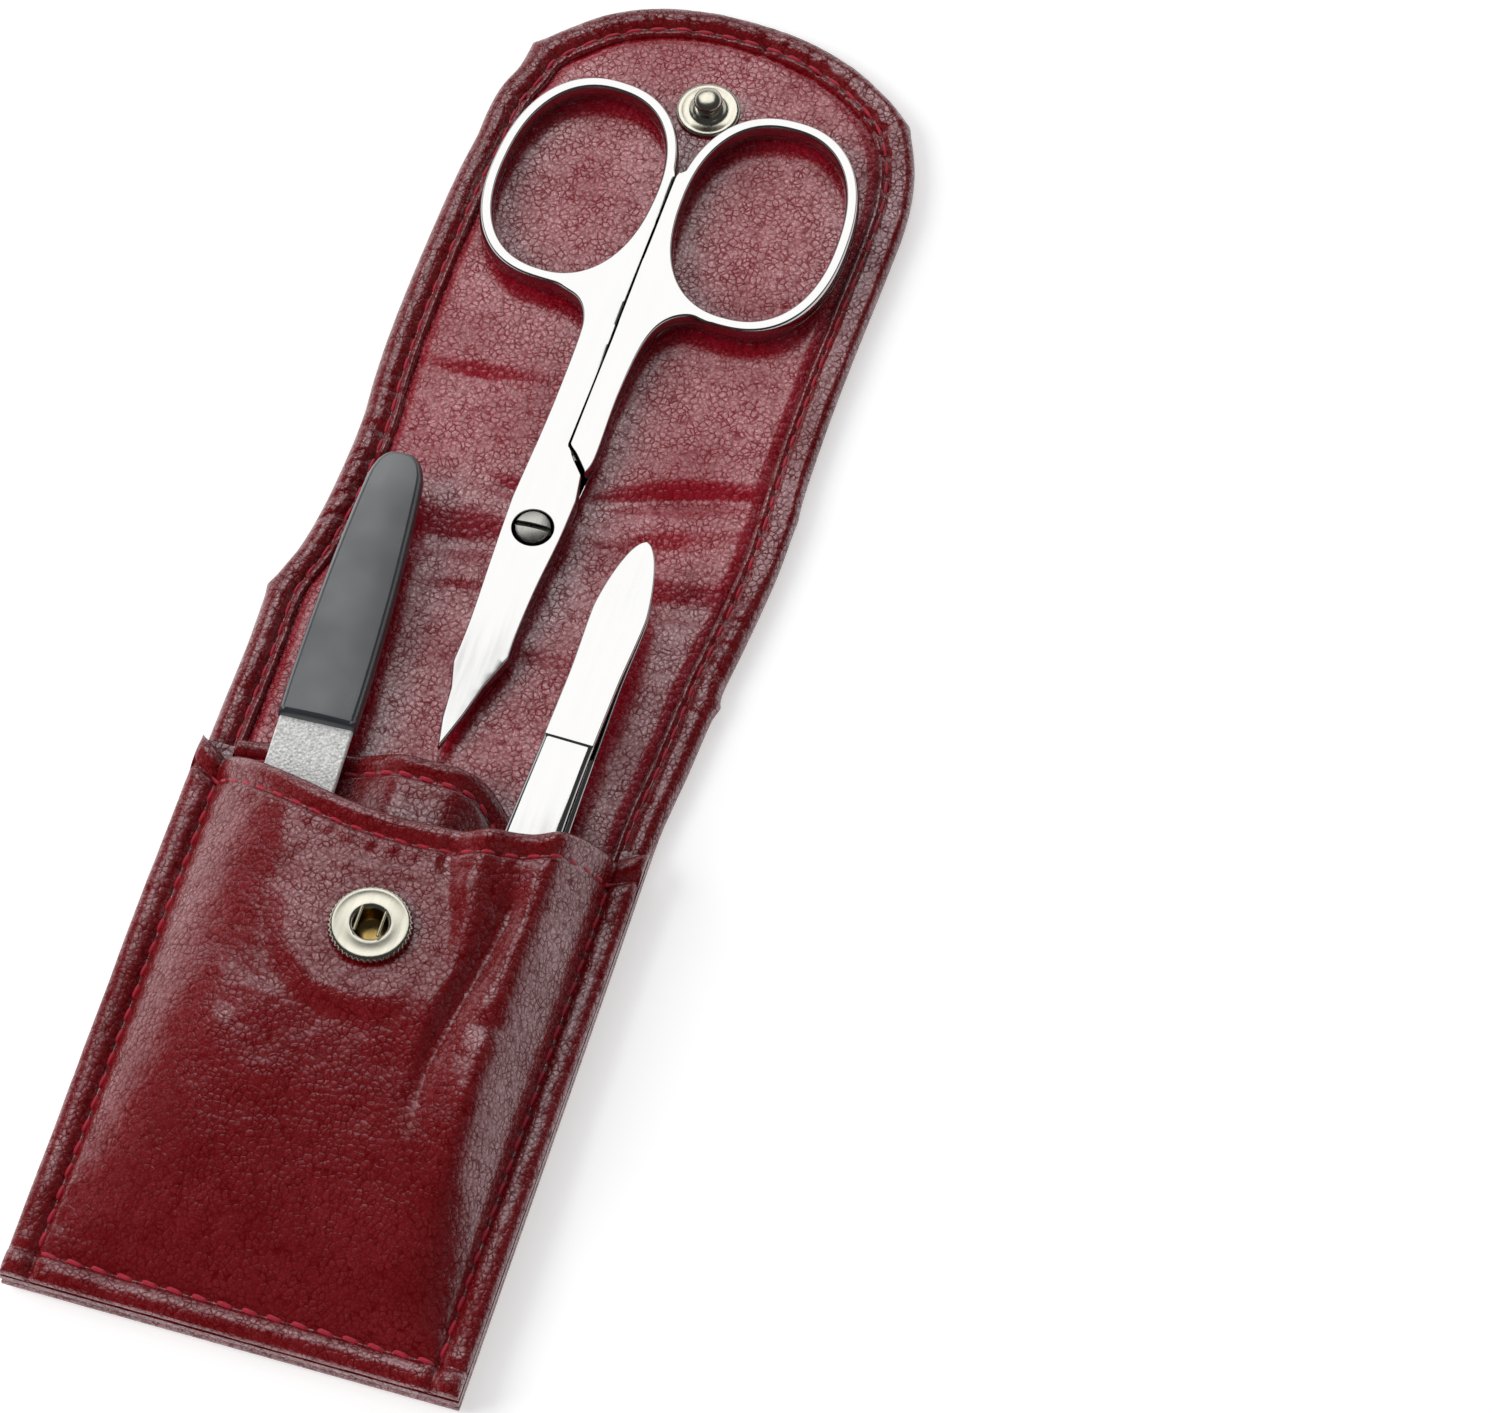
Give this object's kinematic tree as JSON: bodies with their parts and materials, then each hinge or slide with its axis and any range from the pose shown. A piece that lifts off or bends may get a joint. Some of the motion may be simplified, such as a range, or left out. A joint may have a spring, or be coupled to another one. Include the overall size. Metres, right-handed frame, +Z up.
{
  "type": "manicure set case",
  "caption": "Leather wallet with a pocket and a folding flap that closes with a press stud, holding nail scissors, a nail file and tweezers.",
  "frame": {"origin": "under the back panel, 50 mm from the pocket's bottom edge and midway between its sides, on the surface the case lies on", "axes": "+Y from the pocket towards the flap's tip, +Z up through the pocket's front, +X to the right"},
  "size_m": [0.0571, 0.1857, 0.0147],
  "materials": {
    "leather": "glossy pebbled burgundy leather with crimson thread",
    "lining": "soft pebbled burgundy lining leather",
    "board": "grey pressed-fibre stiffener board",
    "stud_metal": "pale gold plated brass, turned and polished",
    "spring_steel": "drawn spring wire",
    "tool_chrome": "polished nickel-plated steel",
    "file_steel": "grit-coated file steel",
    "handle_plastic": "black moulded plastic with soft wear marks"
  },
  "bodies": {
    "case": {"back_outer": "leather", "back_board": "board", "back_lining": "lining", "pocket_front": "leather", "pocket_divider": "leather", "welt_left": "leather", "welt_right": "leather", "welt_bottom": "leather", "snap_socket": "stud_metal", "snap_spring": "spring_steel", "snap_cup": "stud_metal"},
    "spine": {"spine_outer": "leather", "spine_lining": "lining"},
    "flap": {"flap_outer": "leather", "flap_board": "board", "flap_lining": "lining", "snap_stud": "stud_metal", "snap_rivet": "stud_metal"},
    "scissors": {"scissors_upper": "tool_chrome", "scissors_screw": "tool_chrome"},
    "scissors_half": {"scissors_lower": "tool_chrome"},
    "file": {"file_blade": "file_steel", "file_handle": "handle_plastic"},
    "tweezers": {"tweezers_lower": "tool_chrome"},
    "tweezers_arm": {"tweezers_upper": "tool_chrome"}
  },
  "joints": [
    {"name": "flap_fold", "type": "hinge", "parent": "case", "child": "spine", "pos_m": [0.0018, 0.05255, 0.0024], "axis": [0.9999, -0.0147, 0], "range_deg": [0, 90]},
    {"name": "flap_fold_outer", "type": "hinge", "parent": "spine", "child": "flap", "pos_m": [0.002, 0.06605, 0.0024], "axis": [0.9999, -0.0147, 0], "range_deg": [0, 90]},
    {"name": "scissors_lift", "type": "slide", "parent": "case", "child": "scissors", "axis": [0, 0, 1], "range_m": [0, 0.2355]},
    {"name": "scissors_open", "type": "hinge", "parent": "scissors", "child": "scissors_half", "pos_m": [0.001, 0.0567, 0.0043], "axis": [0, 0, -1], "range_deg": [0, 35]},
    {"name": "file_slide", "type": "slide", "parent": "case", "child": "file", "axis": [0.041, -0.9988, -0.0279], "range_m": [0, 0.013]},
    {"name": "tweezers_slide", "type": "slide", "parent": "case", "child": "tweezers", "axis": [-0.0227, -0.9994, -0.0262], "range_m": [0, 0.0075]},
    {"name": "tweezers_squeeze", "type": "hinge", "parent": "tweezers", "child": "tweezers_arm", "pos_m": [0.0147, 0.04898, 0.00776], "axis": [0.9997, -0.0227, 0], "range_deg": [0, 1.4], "stiffness_Nm_per_rad": 0.5}
  ],
  "couplings": [
    {"joint": "flap_fold_outer", "follows": "flap_fold", "ratio": 1},
    {"joint": "scissors_lift", "follows": "flap_fold", "m_per_rad": 0.14961},
    {"joint": "file_slide", "follows": "flap_fold", "m_per_rad": 0.008149},
    {"joint": "tweezers_slide", "follows": "flap_fold", "m_per_rad": 0.004647}
  ]
}
